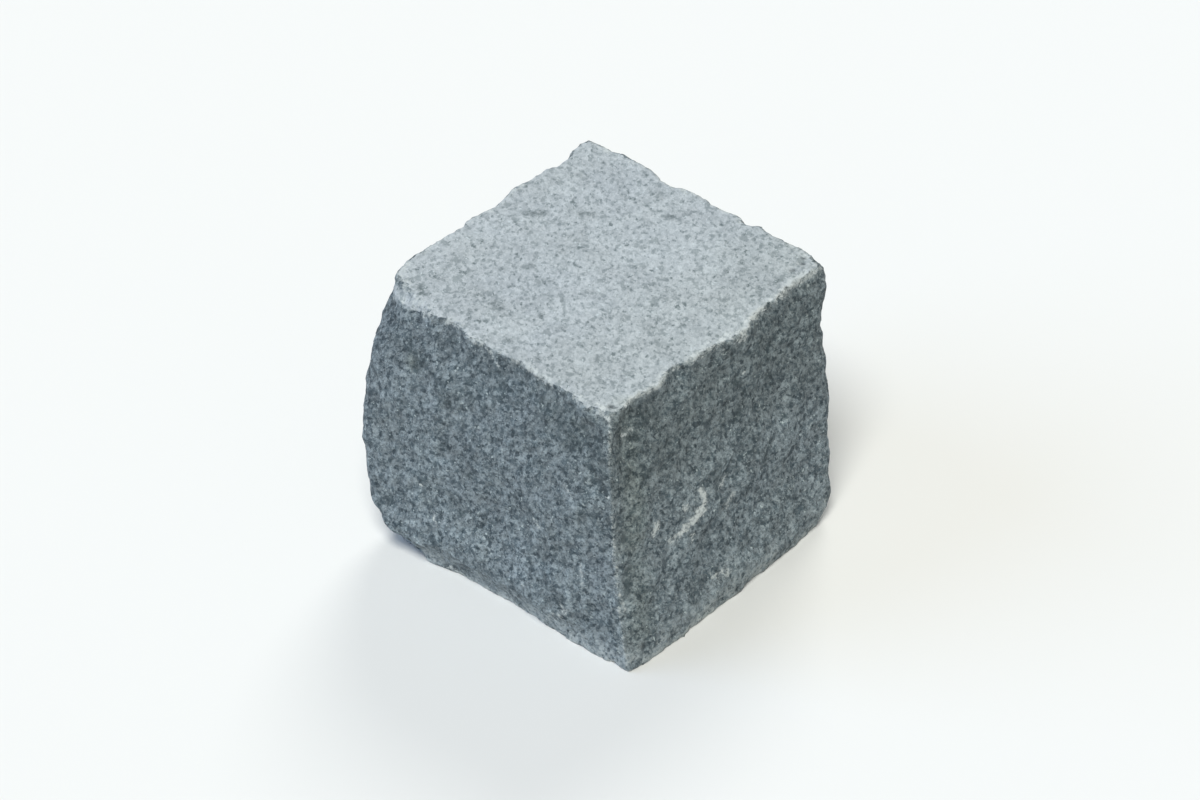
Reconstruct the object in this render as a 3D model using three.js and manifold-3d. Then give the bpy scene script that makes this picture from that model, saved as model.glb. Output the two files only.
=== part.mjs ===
// Andesite cobblestone: a 10 cm paving sett in one piece of stone.
// Its top and bottom are sawn flat. Its four sides are split, so they bulge, and their edges are chipped.
// Units are millimetres and +Z is up. The stone stands on z = 0, centred on the Z axis.
// The sides are named east (+X), north (+Y), west (-X) and south (-Y).

import * as THREE from 'three';
import { ImprovedNoise } from 'three/addons/math/ImprovedNoise.js';
import { mergeVertices } from 'three/addons/utils/BufferGeometryUtils.js';
import Module from 'manifold-3d';

const wasm = await Module();
wasm.setup();

// Driving dimensions.
const HEIGHT = 100;
const SIDE = 97;

// Fineness of the facets.
const CELLS_PER_SIDE = 28;
const ROWS = 28;
const ROW_CROWDING = 0.45;

// Colour and finish of the dry stone.
const STONE_COLOUR = 0x8b959b;
const STONE_ROUGHNESS = 0.92;

// The four arrises, in the order that the sides meet them, anticlockwise from above.
// Each station is [height, x, y, radius of the worn edge].
const ARRISES = [
  { // south-east: straight and crisp, leaning slightly
    stations: [
      [0, 50.0, -47.7, 2.0], [32, 48.4, -49.2, 1.2], [50, 47.6, -50.0, 1.2],
      [75, 47.3, -50.1, 1.2], [92, 47.3, -50.1, 1.4], [HEIGHT, 48.0, -49.7, 1.6],
    ],
  },
  { // north-east: nearly upright, slightly worn
    stations: [
      [0, 47.6, 47.2, 4.0], [8, 49.2, 49.2, 3.2], [20, 49.4, 49.5, 3.0], [36, 49.0, 49.0, 3.0],
      [50, 49.6, 49.5, 3.0], [65, 48.3, 48.3, 3.0], [80, 48.0, 47.9, 3.0], [92, 49.0, 49.0, 3.4],
      [HEIGHT, 48.0, 48.4, 4.0],
    ],
  },
  { // north-west: bowed out a little at mid-height
    stations: [
      [0, -46.4, 46.8, 3.0], [14, -48.8, 49.0, 3.0], [34, -50.6, 50.2, 2.6], [60, -51.0, 50.6, 2.6],
      [84, -49.2, 49.4, 2.4], [HEIGHT, -48.4, 48.4, 2.0],
    ],
  },
  { // south-west: the strongest bulge, rounded above and under
    stations: [
      [0, -49.0, -48.4, 10], [5, -52.0, -49.8, 10.5], [10, -54.5, -52.0, 9], [18, -56.0, -53.3, 8],
      [35, -56.0, -53.8, 7], [55, -55.5, -53.6, 7], [70, -54.0, -52.3, 8], [78, -53.0, -51.7, 9],
      [85, -52.0, -49.7, 11], [92, -51.0, -47.2, 14], [HEIGHT, -50.2, -47.0, 16],
    ],
  },
];

const SIDE_NAMES = ['east', 'north', 'west', 'south'];

// How far each split side bows out at its middle, and how rough it is.
const SIDE_BOW = { east: 0.6, north: 1.4, west: 1.0, south: 0.4 };
const SIDE_ROUGHNESS = { east: 0.75, north: 0.85, west: 0.85, south: 0.65 };

// Relief of the split sides: wavelength and depth of each layer.
const SWELLS = { size: 36, depth: 1.5 };
const LUMPS = { size: 14, depth: 1.0 };
const GRAINS = { size: 6.5, depth: 0.55 };
const RELIEF_MARGIN = 14;

// Scars where stone has flaked off. 'along' is measured from the side's first arris and 'up' from the ground.
// A negative depth is a lump that was left standing.
const SCARS = [
  // chips in the rim of the sawn top
  { side: 'south', along: 17, up: 100, width: 11, tall: 12, depth: 1.8 },
  { side: 'south', along: 32, up: 100, width: 12, tall: 14, depth: 1.7 },
  { side: 'south', along: 60, up: 100, width: 8, tall: 8, depth: 1.0 },
  { side: 'south', along: 88, up: 100, width: 12, tall: 16, depth: -1.0 },
  { side: 'south', along: 96, up: 100, width: 7, tall: 14, depth: 2.2 },
  { side: 'east', along: 11, up: 100, width: 9, tall: 12, depth: 1.5 },
  { side: 'east', along: 29, up: 100, width: 13, tall: 16, depth: 2.2 },
  { side: 'east', along: 54, up: 99, width: 20, tall: 22, depth: -2.8 },
  { side: 'east', along: 84, up: 100, width: 18, tall: 14, depth: 0.9 },
  { side: 'north', along: 7, up: 100, width: 5, tall: 6, depth: 1.4 },
  { side: 'north', along: 23, up: 100, width: 8, tall: 8, depth: 1.2 },
  { side: 'north', along: 32, up: 100, width: 6, tall: 8, depth: 1.7 },
  { side: 'north', along: 63, up: 100, width: 12, tall: 11, depth: 2.1 },
  { side: 'north', along: 86, up: 100, width: 8, tall: 9, depth: 0.8 },
  { side: 'west', along: 15, up: 100, width: 12, tall: 12, depth: 1.9 },
  { side: 'west', along: 47, up: 100, width: 14, tall: 12, depth: 0.9 },
  // chips in the rim of the sawn bottom
  { side: 'south', along: 42, up: 0, width: 60, tall: 34, depth: 1.9 },
  { side: 'east', along: 46, up: 0, width: 96, tall: 40, depth: -1.9 },
  { side: 'east', along: 28, up: 0, width: 6, tall: 6, depth: 1.0 },
  { side: 'east', along: 58, up: 0, width: 7, tall: 7, depth: 0.9 },
  { side: 'north', along: 26, up: 0, width: 20, tall: 14, depth: 3.0 },
  { side: 'north', along: 70, up: 0, width: 14, tall: 10, depth: 2.0 },
  { side: 'west', along: 22, up: 0, width: 22, tall: 16, depth: 3.4 },
  { side: 'west', along: 60, up: 0, width: 12, tall: 9, depth: 1.6 },
  // flakes and pits in the split sides
  { side: 'south', along: 92, up: 72, width: 8, tall: 9, depth: 1.0 },
  { side: 'south', along: 26, up: 76, width: 16, tall: 12, depth: 1.0 },
  { side: 'south', along: 58, up: 40, width: 30, tall: 24, depth: 1.0 },
  { side: 'east', along: 8, up: 84, width: 12, tall: 34, depth: 1.6 },
  { side: 'east', along: 46, up: 46, width: 30, tall: 17, depth: 1.5 },
  { side: 'east', along: 72, up: 62, width: 22, tall: 26, depth: 1.2 },
  { side: 'north', along: 40, up: 58, width: 38, tall: 30, depth: 2.4 },
  { side: 'north', along: 78, up: 78, width: 20, tall: 18, depth: 1.8 },
  { side: 'west', along: 36, up: 70, width: 34, tall: 26, depth: 2.2 },
  { side: 'west', along: 66, up: 44, width: 22, tall: 26, depth: 1.6 },
];

// Ledges low on the two rougher sides, where the split ran out and left a step.
const LEDGES = [
  { side: 'north', from: 44, to: 92, up: 24, lift: 2.2 },
  { side: 'west', from: 6, to: 52, up: 30, lift: 2.4 },
];
const LEDGE_RISE = 5;
const LEDGE_END = 12;
const LEDGE_WAVE = { size: 17, depth: 5 };

// Broad, nearly flat scars of the split sides. Each cuts off what stands proud of a large ball, 'sink' deep.
const FACETS = [
  { side: 'north', along: 70, up: 68, radius: 150, sink: 1.6 },
  { side: 'north', along: 24, up: 38, radius: 120, sink: 2.0 },
  { side: 'north', along: 20, up: 84, radius: 60, sink: 1.0 },
  { side: 'west', along: 28, up: 66, radius: 130, sink: 1.9 },
  { side: 'west', along: 66, up: 36, radius: 110, sink: 1.7 },
  { side: 'west', along: 1, up: 46, radius: 42, sink: 2.6 },
];
const FACET_GRAIN = 0.35;

// Flakes struck off the rims and corners of the two sawn faces. Each scar is part of a ball: 'at' is its
// middle, 'facing' is the way it looks, 'radius' is the ball's, and 'reach' is how far the flake could run.
const FLAKES = [
  { at: [-41.0, -46.2, 97.4], facing: [-0.22, -0.42, 0.88], radius: 34, reach: 20 },
  { at: [46.0, -49.2, 98.0], facing: [0.3, -0.7, 0.65], radius: 5, reach: 4.6 },
  { at: [47.4, 45.6, 98.4], facing: [0.7, 0.4, 0.6], radius: 8, reach: 7 },
  { at: [-45.0, 44.5, 5.0], facing: [-0.55, 0.55, -0.62], radius: 26, reach: 22 },
  { at: [45.6, 45.4, 2.2], facing: [0.6, 0.5, -0.62], radius: 14, reach: 12 },
  { at: [-51.0, -8.0, 4.4], facing: [-0.82, -0.1, -0.56], radius: 26, reach: 22 },
  { at: [-6.0, 47.6, 4.4], facing: [-0.05, 0.82, -0.56], radius: 24, reach: 20 },
];
const FLAKE_FACET = 3.2;
const FLAKE_RIPPLE = { size: 7, depth: 0.35 };

// Corners of the plain square in the middle of each sawn face, clockwise from above.
const FACE_HALF = 28;
const FACE_CORNERS = [
  [FACE_HALF, FACE_HALF], [FACE_HALF, -FACE_HALF], [-FACE_HALF, -FACE_HALF], [-FACE_HALF, FACE_HALF],
];

const noise = new ImprovedNoise();

/** Smooth step from 0 at low to 1 at high. */
function ramp(value, low, high) {
  return THREE.MathUtils.smoothstep(value, low, high);
}

/** Interpolates an arris between its stations: x, y and worn radius at a height. */
function makeArris({ stations }) {
  const heights = stations.map((station) => station[0]);
  const values = stations.flatMap((station) => station.slice(1));
  const track = new THREE.CubicInterpolant(heights, values, 3, new Float32Array(3));
  return (z) => {
    const [x, y, radius] = track.evaluate(z);
    return { point: new THREE.Vector2(x, y), radius };
  };
}

const arrises = ARRISES.map(makeArris);

/** Unit vector from one arris to the next at a height, with the distance between them. */
function sideRun(side, z) {
  const start = arrises[side](z).point;
  const run = arrises[(side + 1) % 4](z).point.sub(start);
  const length = run.length();
  return { start, direction: run.divideScalar(length), length };
}

/** The right-hand normal of a direction, which points out of the stone. */
function outwardOf(direction) {
  return new THREE.Vector2(direction.y, -direction.x);
}

/** A point on the worn arris, at a distance from the corner, turned towards the side that it is on. */
function wornPoint(corner, distance, meeting, leaving, towards) {
  const centre = corner.point.clone()
    .addScaledVector(leaving, corner.radius)
    .addScaledVector(meeting, -corner.radius);
  const middle = outwardOf(meeting).add(outwardOf(leaving)).normalize();
  const outward = middle.lerp(outwardOf(towards), distance / corner.radius).normalize();
  return { point: centre.addScaledVector(outward, corner.radius), outward };
}

/** The unworn outline at a height: a point and its outward direction, a share of the way along a side. */
function outlinePoint(side, share, z) {
  const here = sideRun(side, z);
  const distance = share * here.length;
  const left = here.length - distance;
  const first = arrises[side](z);
  if (distance < first.radius) {
    return wornPoint(first, distance, sideRun((side + 3) % 4, z).direction, here.direction, here.direction);
  }
  const last = arrises[(side + 1) % 4](z);
  if (left < last.radius) {
    return wornPoint(last, left, here.direction, sideRun((side + 1) % 4, z).direction, here.direction);
  }
  return { point: here.start.addScaledVector(here.direction, distance), outward: outwardOf(here.direction) };
}

/** Shortest signed way round the stone from one place to another. */
function wayRound(from, to) {
  const around = 4 * SIDE;
  return THREE.MathUtils.euclideanModulo(to - from + around / 2, around) - around / 2;
}

/** How deep the scars cut at a place round the stone and a height. */
function scarDepth(round, z) {
  let depth = 0;
  for (const scar of SCARS) {
    const centre = SIDE_NAMES.indexOf(scar.side) * SIDE + scar.along;
    const across = wayRound(centre, round) / (scar.width / 2);
    const upward = (z - scar.up) / (scar.tall / 2);
    depth += scar.depth * Math.max(0, 1 - across * across - upward * upward);
  }
  return depth;
}

/** How far the ledges stand out at a place round the stone and a height. */
function ledgeLift(round, z) {
  let lift = 0;
  for (const ledge of LEDGES) {
    const offset = SIDE_NAMES.indexOf(ledge.side) * SIDE;
    const along = wayRound(offset, round);
    const inside = ramp(along, ledge.from, ledge.from + LEDGE_END) * ramp(ledge.to - along, 0, LEDGE_END);
    const top = ledge.up + LEDGE_WAVE.depth * noise.noise(round / LEDGE_WAVE.size, ledge.up, 0);
    lift += ledge.lift * inside * (1 - ramp(z, top, top + LEDGE_RISE)) * ramp(z, 0, top);
  }
  return lift;
}

/** The furthest out that the broad scars leave stone standing, at a place round the stone and a height. */
function facetLimit(round, z) {
  let limit = Infinity;
  for (const facet of FACETS) {
    const across = wayRound(SIDE_NAMES.indexOf(facet.side) * SIDE + facet.along, round);
    const distance = Math.hypot(across, z - facet.up);
    limit = Math.min(limit, distance * distance / (2 * facet.radius) - facet.sink);
  }
  return limit;
}

/** One layer of relief at a point. */
function layer({ size, depth }, point) {
  return depth * 2 * noise.noise(point.x / size, point.y / size, point.z / size);
}

/** How far the split surface stands out from the outline at a place. */
function relief(side, share, z, point) {
  const name = SIDE_NAMES[side];
  const edge = Math.min(share, 1 - share) * SIDE;
  const rim = Math.min(z, HEIGHT - z);
  const inside = ramp(Math.min(edge, rim), 0, RELIEF_MARGIN);
  const bow = SIDE_BOW[name] * Math.sin(Math.PI * share) * Math.sin(Math.PI * z / HEIGHT);
  const rough = SIDE_ROUGHNESS[name];
  const swells = layer(SWELLS, point) + 0.7 * layer(LUMPS, point);
  const grain = layer(GRAINS, point);
  const surface = inside * swells + 0.3 * layer(LUMPS, point) + grain;
  const round = (side + share) * SIDE;
  const standing = bow + rough * surface + ledgeLift(round, z) - scarDepth(round, z);
  return Math.min(standing, facetLimit(round, z) + FACET_GRAIN * grain);
}

/** Height of a row. Rows are closer together near the two sawn faces, where the chips are. */
function rowHeight(row) {
  const even = row / ROWS;
  const crowded = (1 - Math.cos(Math.PI * even)) / 2;
  return HEIGHT * THREE.MathUtils.lerp(even, crowded, ROW_CROWDING);
}

/** The closed ring of points round the stone at one row. */
function makeRing(row) {
  const z = rowHeight(row);
  const ring = [];
  for (let side = 0; side < 4; side += 1) {
    for (let cell = 0; cell < CELLS_PER_SIDE; cell += 1) {
      const share = cell / CELLS_PER_SIDE;
      const { point, outward } = outlinePoint(side, share, z);
      const place = new THREE.Vector3(point.x, point.y, z);
      const reach = relief(side, share, z, place);
      ring.push(place.add(new THREE.Vector3(outward.x, outward.y, 0).multiplyScalar(reach)));
    }
  }
  return ring;
}

/** Triangles of a sawn face, seen from above: a plain square in the middle and a border out to the ring. */
function faceTriangles(ring) {
  const contour = ring.map((point) => new THREE.Vector2(point.x, point.y));
  const square = FACE_CORNERS.map(([x, y]) => new THREE.Vector2(x, y));
  const border = THREE.ShapeUtils.triangulateShape(contour, [square]);
  const corner = ring.length;
  return [...border, [corner, corner + 2, corner + 1], [corner, corner + 3, corner + 2]];
}

/** The split block before any flake is struck off: one closed body with its faces outwards. */
function splitBlock() {
  const rings = Array.from({ length: ROWS + 1 }, (_, row) => makeRing(row));
  const count = rings[0].length;
  const points = rings.flat();
  const triangles = [];
  for (let row = 0; row < ROWS; row += 1) {
    for (let cell = 0; cell < count; cell += 1) {
      const next = (cell + 1) % count;
      const low = [row * count + cell, row * count + next];
      const high = [low[0] + count, low[1] + count];
      triangles.push([low[0], low[1], high[1]], [low[0], high[1], high[0]]);
    }
  }
  for (const [row, z] of [[0, 0], [ROWS, HEIGHT]]) {
    const middle = points.length;
    points.push(...FACE_CORNERS.map(([x, y]) => new THREE.Vector3(x, y, z)));
    const place = (corner) => (corner < count ? row * count + corner : middle + corner - count);
    for (const [a, b, c] of faceTriangles(rings[row])) {
      triangles.push(row === 0 ? [place(a), place(c), place(b)] : [place(a), place(b), place(c)]);
    }
  }
  const geometry = new THREE.BufferGeometry().setFromPoints(points);
  geometry.setIndex(triangles.flat());
  return geometry;
}

/** Turns a closed geometry into a solid. */
function toSolid(geometry) {
  geometry.deleteAttribute('normal');
  geometry.deleteAttribute('uv');
  const merged = mergeVertices(geometry);
  return new wasm.Manifold(new wasm.Mesh({
    numProp: 3,
    vertProperties: new Float32Array(merged.attributes.position.array),
    triVerts: new Uint32Array(merged.index.array),
  }));
}

/** The solid that one flake's scar is scooped with: a rippled bowl, closed by a cone behind it. */
function flakeTool({ at, facing, radius, reach }) {
  const steps = Math.ceil(reach / FLAKE_FACET);
  const opening = Math.asin(reach / radius);
  const bowl = Array.from({ length: steps + 1 }, (_, step) => {
    const angle = opening * step / steps;
    return new THREE.Vector2(radius * Math.sin(angle), radius * (1 - Math.cos(angle)));
  });
  bowl[0].x = 0;
  const profile = [...bowl, new THREE.Vector2(0, bowl[steps].y + reach)];
  const around = Math.ceil(2 * Math.PI * reach / FLAKE_FACET);
  const tool = new THREE.LatheGeometry(profile, around);
  const outward = new THREE.Vector3(...facing).normalize();
  const turn = new THREE.Quaternion().setFromUnitVectors(new THREE.Vector3(0, 1, 0), outward);
  tool.applyQuaternion(turn);
  tool.translate(...at);
  const places = tool.attributes.position;
  for (let i = 0; i < places.count; i += 1) {
    const place = new THREE.Vector3().fromBufferAttribute(places, i);
    place.addScaledVector(outward, layer(FLAKE_RIPPLE, place));
    places.setXYZ(i, place.x, place.y, place.z);
  }
  return toSolid(tool);
}

/** The finished stone: the split block with its flakes struck off, centred on the Z axis. */
function buildStone() {
  const stone = FLAKES.reduce((solid, flake) => solid.subtract(flakeTool(flake)), toSolid(splitBlock()));
  const { vertProperties, triVerts } = stone.getMesh();
  const geometry = new THREE.BufferGeometry();
  geometry.setAttribute('position', new THREE.BufferAttribute(vertProperties, 3));
  geometry.setIndex(Array.from(triVerts));
  geometry.computeBoundingBox();
  const middle = geometry.boundingBox.getCenter(new THREE.Vector3());
  geometry.translate(-middle.x, -middle.y, 0);
  geometry.computeVertexNormals();
  return geometry;
}

const andesite = new THREE.MeshStandardMaterial({
  color: STONE_COLOUR,
  roughness: STONE_ROUGHNESS,
  metalness: 0,
});

const cobblestone = new THREE.Mesh(buildStone(), andesite);
cobblestone.name = 'cobblestone';

const part = new THREE.Group();
part.add(cobblestone);

export default part;
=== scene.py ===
"""An andesite sett: its weathered skin, its finish, and the plain studio that it stands in.

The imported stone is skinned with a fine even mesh. Geometry nodes break its rims, give its split sides
their grain, and say where it is sawn. Marks are then laid on it one by one, and the material reads them.
"""

import logging
import math
from collections.abc import Callable
from dataclasses import asdict, dataclass, field
from enum import Enum
from functools import partial, reduce
from typing import NamedTuple

import bmesh
import bpy
import numpy as np
from mathutils import Matrix, Vector


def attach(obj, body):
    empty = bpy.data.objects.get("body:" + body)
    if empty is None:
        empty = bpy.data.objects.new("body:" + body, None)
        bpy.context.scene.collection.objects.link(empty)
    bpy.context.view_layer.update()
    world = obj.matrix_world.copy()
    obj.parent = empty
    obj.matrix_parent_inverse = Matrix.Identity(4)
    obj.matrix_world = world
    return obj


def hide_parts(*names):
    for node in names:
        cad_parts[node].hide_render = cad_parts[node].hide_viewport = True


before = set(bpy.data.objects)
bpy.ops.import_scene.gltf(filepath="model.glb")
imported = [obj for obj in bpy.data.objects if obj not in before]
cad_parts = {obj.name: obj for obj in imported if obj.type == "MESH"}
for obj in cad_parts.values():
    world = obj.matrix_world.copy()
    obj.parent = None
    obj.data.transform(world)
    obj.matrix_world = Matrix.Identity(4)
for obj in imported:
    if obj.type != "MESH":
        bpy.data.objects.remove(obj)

log = logging.getLogger("sett")

MM = 0.001
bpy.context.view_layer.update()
NODE = "cobblestone"
BODY = "root"

Point = tuple[float, float, float]
Colour = tuple[float, float, float]
Socket = bpy.types.NodeSocket
Tree = bpy.types.NodeTree

UPWARD: Point = (0.0, 0.0, 1.0)
SLANT = 0.7071  # each part of a unit vector halfway between two axes


class Carrier(Enum):
    """The mesh attributes that carry what the finish needs to know."""

    SAWN = "sawn"
    RIM = "rim"
    PROUD = "proud"
    BRUISE = "bruise"
    PIT = "pit"
    STAIN = "stain"
    RUST = "rust"


class Slope(NamedTuple):
    """A smooth change: where it starts and ends, and what comes out there."""

    low: float
    high: float
    start: float = 0.0
    end: float = 1.0


class Waves(NamedTuple):
    """Soft noise: the length of its waves in mm, its finer layers, its pattern and their strength."""

    size: float
    layers: float
    seed: float
    rough: float = 0.5


# ------------------------------------------------------------
# Node trees and objects


def put(name: str, data: bpy.types.ID) -> bpy.types.Object:
    """Puts a new object in the scene and returns it."""
    made = bpy.data.objects.new(name, data)
    bpy.context.scene.collection.objects.link(made)
    return made


def values_of(items: bpy.types.bpy_prop_collection, name: str, kind: type, width: int = 1) -> np.ndarray:
    """Reads one property of every item.

    Args:
        items: Such as the points of a mesh.
        name: The property.
        kind: The number type that it is read as.
        width: How many numbers each item has.

    Returns:
        A row for each item where the width is over 1, and otherwise a plain list of numbers.
    """
    values = np.empty(len(items) * width, kind)
    items.foreach_get(name, values)
    return values.reshape(-1, width) if width > 1 else values


class Bench:
    """A node tree with short ways to add nodes, join them and give the tree its sockets.

    A pattern is read at a place in the unit of its size, and its seed shifts it to another pattern. Noise can
    have finer layers, which are as strong as it is rough.
    """

    def __init__(self, tree: Tree) -> None:
        """Takes over a tree.

        Args:
            tree: An empty geometry or shader tree.
        """
        self.tree = tree

    def add(self, kind: str, settings: dict | None = None, **inputs: object) -> bpy.types.Node:
        """Adds a node and fills its inputs.

        Args:
            kind: The node's type name.
            settings: Properties of the node, set before its inputs.
            inputs: Values or output sockets by input name, with _ for a space, or iN for input N.

        Returns:
            The node.
        """
        node = self.tree.nodes.new(kind)
        for name, value in (settings or {}).items():
            setattr(node, name, value)
        for name, value in inputs.items():
            self.join(node, name, value)
        return node

    def join(self, node: bpy.types.Node, name: str, value: object) -> None:
        """Links an output to a node's input, or sets the input's value.

        Args:
            node: The node that takes it.
            name: The input's name, with _ for a space, or iN for input N.
            value: An output socket or a plain value.
        """
        if name[0] == "i" and name[1:].isdigit():
            socket = node.inputs[int(name[1:])]
        else:
            wanted = name.replace("_", " ")
            socket = next(s for s in node.inputs if s.enabled and s.name == wanted)
        if isinstance(value, Socket):
            self.tree.links.new(value, socket)
        else:
            socket.default_value = value

    def sockets(self, way: str, **kinds: object) -> None:
        """Adds named sockets to the tree's interface.

        Args:
            way: INPUT or OUTPUT.
            kinds: Socket kinds by name, such as Float, or a default value that tells the kind.
        """
        for name, kind in kinds.items():
            value = None
            if not isinstance(kind, str):
                value = kind
                kind = {float: "Float", int: "Int"}[type(kind)]
            socket = self.tree.interface.new_socket(
                name=name.replace("_", " "), in_out=way, socket_type=f"NodeSocket{kind}"
            )
            if value is not None:
                socket.default_value = value

    def group(self, tree: Tree, **inputs: object) -> bpy.types.NodeOutputs:
        """Adds a node group, fills its inputs and returns its outputs."""
        return self.add("ShaderNodeGroup", {"node_tree": tree}, **inputs).outputs

    def math(self, work: str, *values: object) -> Socket:
        """Returns the result of a sum on numbers."""
        inputs = {f"i{i}": value for i, value in enumerate(values)}
        return self.add("ShaderNodeMath", {"operation": work}, **inputs).outputs[0]

    def plus(self, *values: object) -> Socket:
        """Returns the sum of numbers."""
        return reduce(partial(self.math, "ADD"), values)

    def minus(self, first: object, second: object) -> Socket:
        """Returns the first number less the second."""
        return self.math("SUBTRACT", first, second)

    def times(self, *values: object) -> Socket:
        """Returns the product of numbers."""
        return reduce(partial(self.math, "MULTIPLY"), values)

    def vector(self, work: str, *values: object) -> Socket:
        """Returns the result of a sum on vectors: a number for a length or a dot product."""
        places = {"SCALE": (0, 3)}.get(work, range(len(values)))
        inputs = {f"i{i}": value for i, value in zip(places, values)}
        node = self.add("ShaderNodeVectorMath", {"operation": work}, **inputs)
        return next(s for s in node.outputs if s.enabled)

    def part(self, value: Socket, axis: str) -> Socket:
        """Returns the X, Y or Z part of a place, or a colour's first, second or third part."""
        return self.add("ShaderNodeSeparateXYZ", i0=value).outputs[axis]

    def moved(self, place: object, way: object, reach: object) -> Socket:
        """Returns a place moved along a way."""
        return self.vector("ADD", place, self.vector("SCALE", way, reach))

    def ramp(
        self, value: object, low: object, high: object, start: object = 0.0, end: object = 1.0
    ) -> Socket:
        """Returns a value carried smoothly from the range low to high onto the range start to end."""
        inputs = {"Value": value, "From_Min": low, "From_Max": high, "To_Min": start, "To_Max": end}
        return self.add("ShaderNodeMapRange", {"interpolation_type": "SMOOTHSTEP"}, **inputs).outputs[0]

    def noise(
        self, place: object, size: object, layers: float = 2.0, seed: object = 0.0, rough: float = 0.5
    ) -> Socket:
        """Returns soft noise from 0 to 1 whose waves are about one size long."""
        inputs = {"Vector": place, "W": seed, "Detail": layers, "Roughness": rough}
        inputs["Scale"] = self.math("DIVIDE", 1.0, size)
        return self.add("ShaderNodeTexNoise", {"noise_dimensions": "4D"}, **inputs).outputs[0]

    def bent(self, place: object, seed: object, scale: float, reach: object, layers: float = 1.0) -> Socket:
        """Returns places that noise shifts about, so that a pattern read there loses its even shapes."""
        inputs = {"Vector": place, "W": seed, "Scale": scale, "Detail": layers}
        shift = self.add("ShaderNodeTexNoise", {"noise_dimensions": "4D"}, **inputs)
        return self.moved(place, shift.outputs["Color"], reach)

    def cells(self, place: object, size: object, seed: object) -> bpy.types.NodeOutputs:
        """Returns the Distance and the random Color of cells about one size across."""
        inputs = {"Vector": place, "W": seed, "Scale": self.math("DIVIDE", 1.0, size)}
        return self.add("ShaderNodeTexVoronoi", {"voronoi_dimensions": "4D"}, **inputs).outputs

    def mix(self, share: object, first: object, second: object, way: str = "MIX") -> Socket:
        """Returns a mix of two colours."""
        node = self.add("ShaderNodeMix", {"data_type": "RGBA", "blend_type": way, "clamp_factor": True})
        for place, value in ((0, share), (6, first), (7, second)):
            plain = place > 0 and not isinstance(value, Socket)
            self.join(node, f"i{place}", (*value, 1.0) if plain else value)
        return node.outputs[2]

    def blend(self, share: object, first: object, second: object) -> Socket:
        """Returns a mix of two numbers."""
        return self.add("ShaderNodeMix", {"data_type": "FLOAT"}, i0=share, i2=first, i3=second).outputs[0]

    def shade(self, colour: object, share: Socket) -> Socket:
        """Returns a colour made lighter or darker by a share."""
        grey = self.add("ShaderNodeCombineXYZ", i0=share, i1=share, i2=share).outputs[0]
        return self.mix(1.0, colour, grey, "MULTIPLY")


# ------------------------------------------------------------
# The marks on the stone


@dataclass(frozen=True)
class Mark:
    """One mark on the stone, laid along a path on its skin. Lengths are in mm."""

    kind: Carrier
    path: tuple[Point, ...]
    width: float
    strength: float = 1.0
    depth: float = 0.0

    def reach(self, places: np.ndarray) -> np.ndarray:
        """Tells how strongly the mark covers each place, with its path drawn onto the skin first.

        Args:
            places: Points of the skin in mm, one in each row.

        Returns:
            From 0 outside the mark to its strength on the path.
        """
        ends = [places[np.argmin(np.linalg.norm(places - point, axis=1))] for point in self.path]
        if len(ends) == 1:
            nearest = np.linalg.norm(places - ends[0], axis=1)
        else:
            nearest = np.min([self.from_line(places, a, b) for a, b in zip(ends, ends[1:])], axis=0)
        share = np.clip(1 - nearest / self.width, 0, 1)
        return self.strength * share * share * (3 - 2 * share)

    @staticmethod
    def from_line(places: np.ndarray, start: np.ndarray, end: np.ndarray) -> np.ndarray:
        """Returns the distance of each place from a straight line between two points."""
        run = end - start
        share = np.clip((places - start) @ run / (run @ run), 0, 1)
        return np.linalg.norm(places - start - share[:, None] * run, axis=1)


def marks(kind: Carrier, *rows: tuple) -> tuple[Mark, ...]:
    """Returns the marks of one kind, from the points, the width, the strength and the depth of each."""
    paths = [tuple(item for item in row if isinstance(item, tuple)) for row in rows]
    return tuple(Mark(kind, path, *row[len(path) :]) for path, row in zip(paths, rows))


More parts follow.
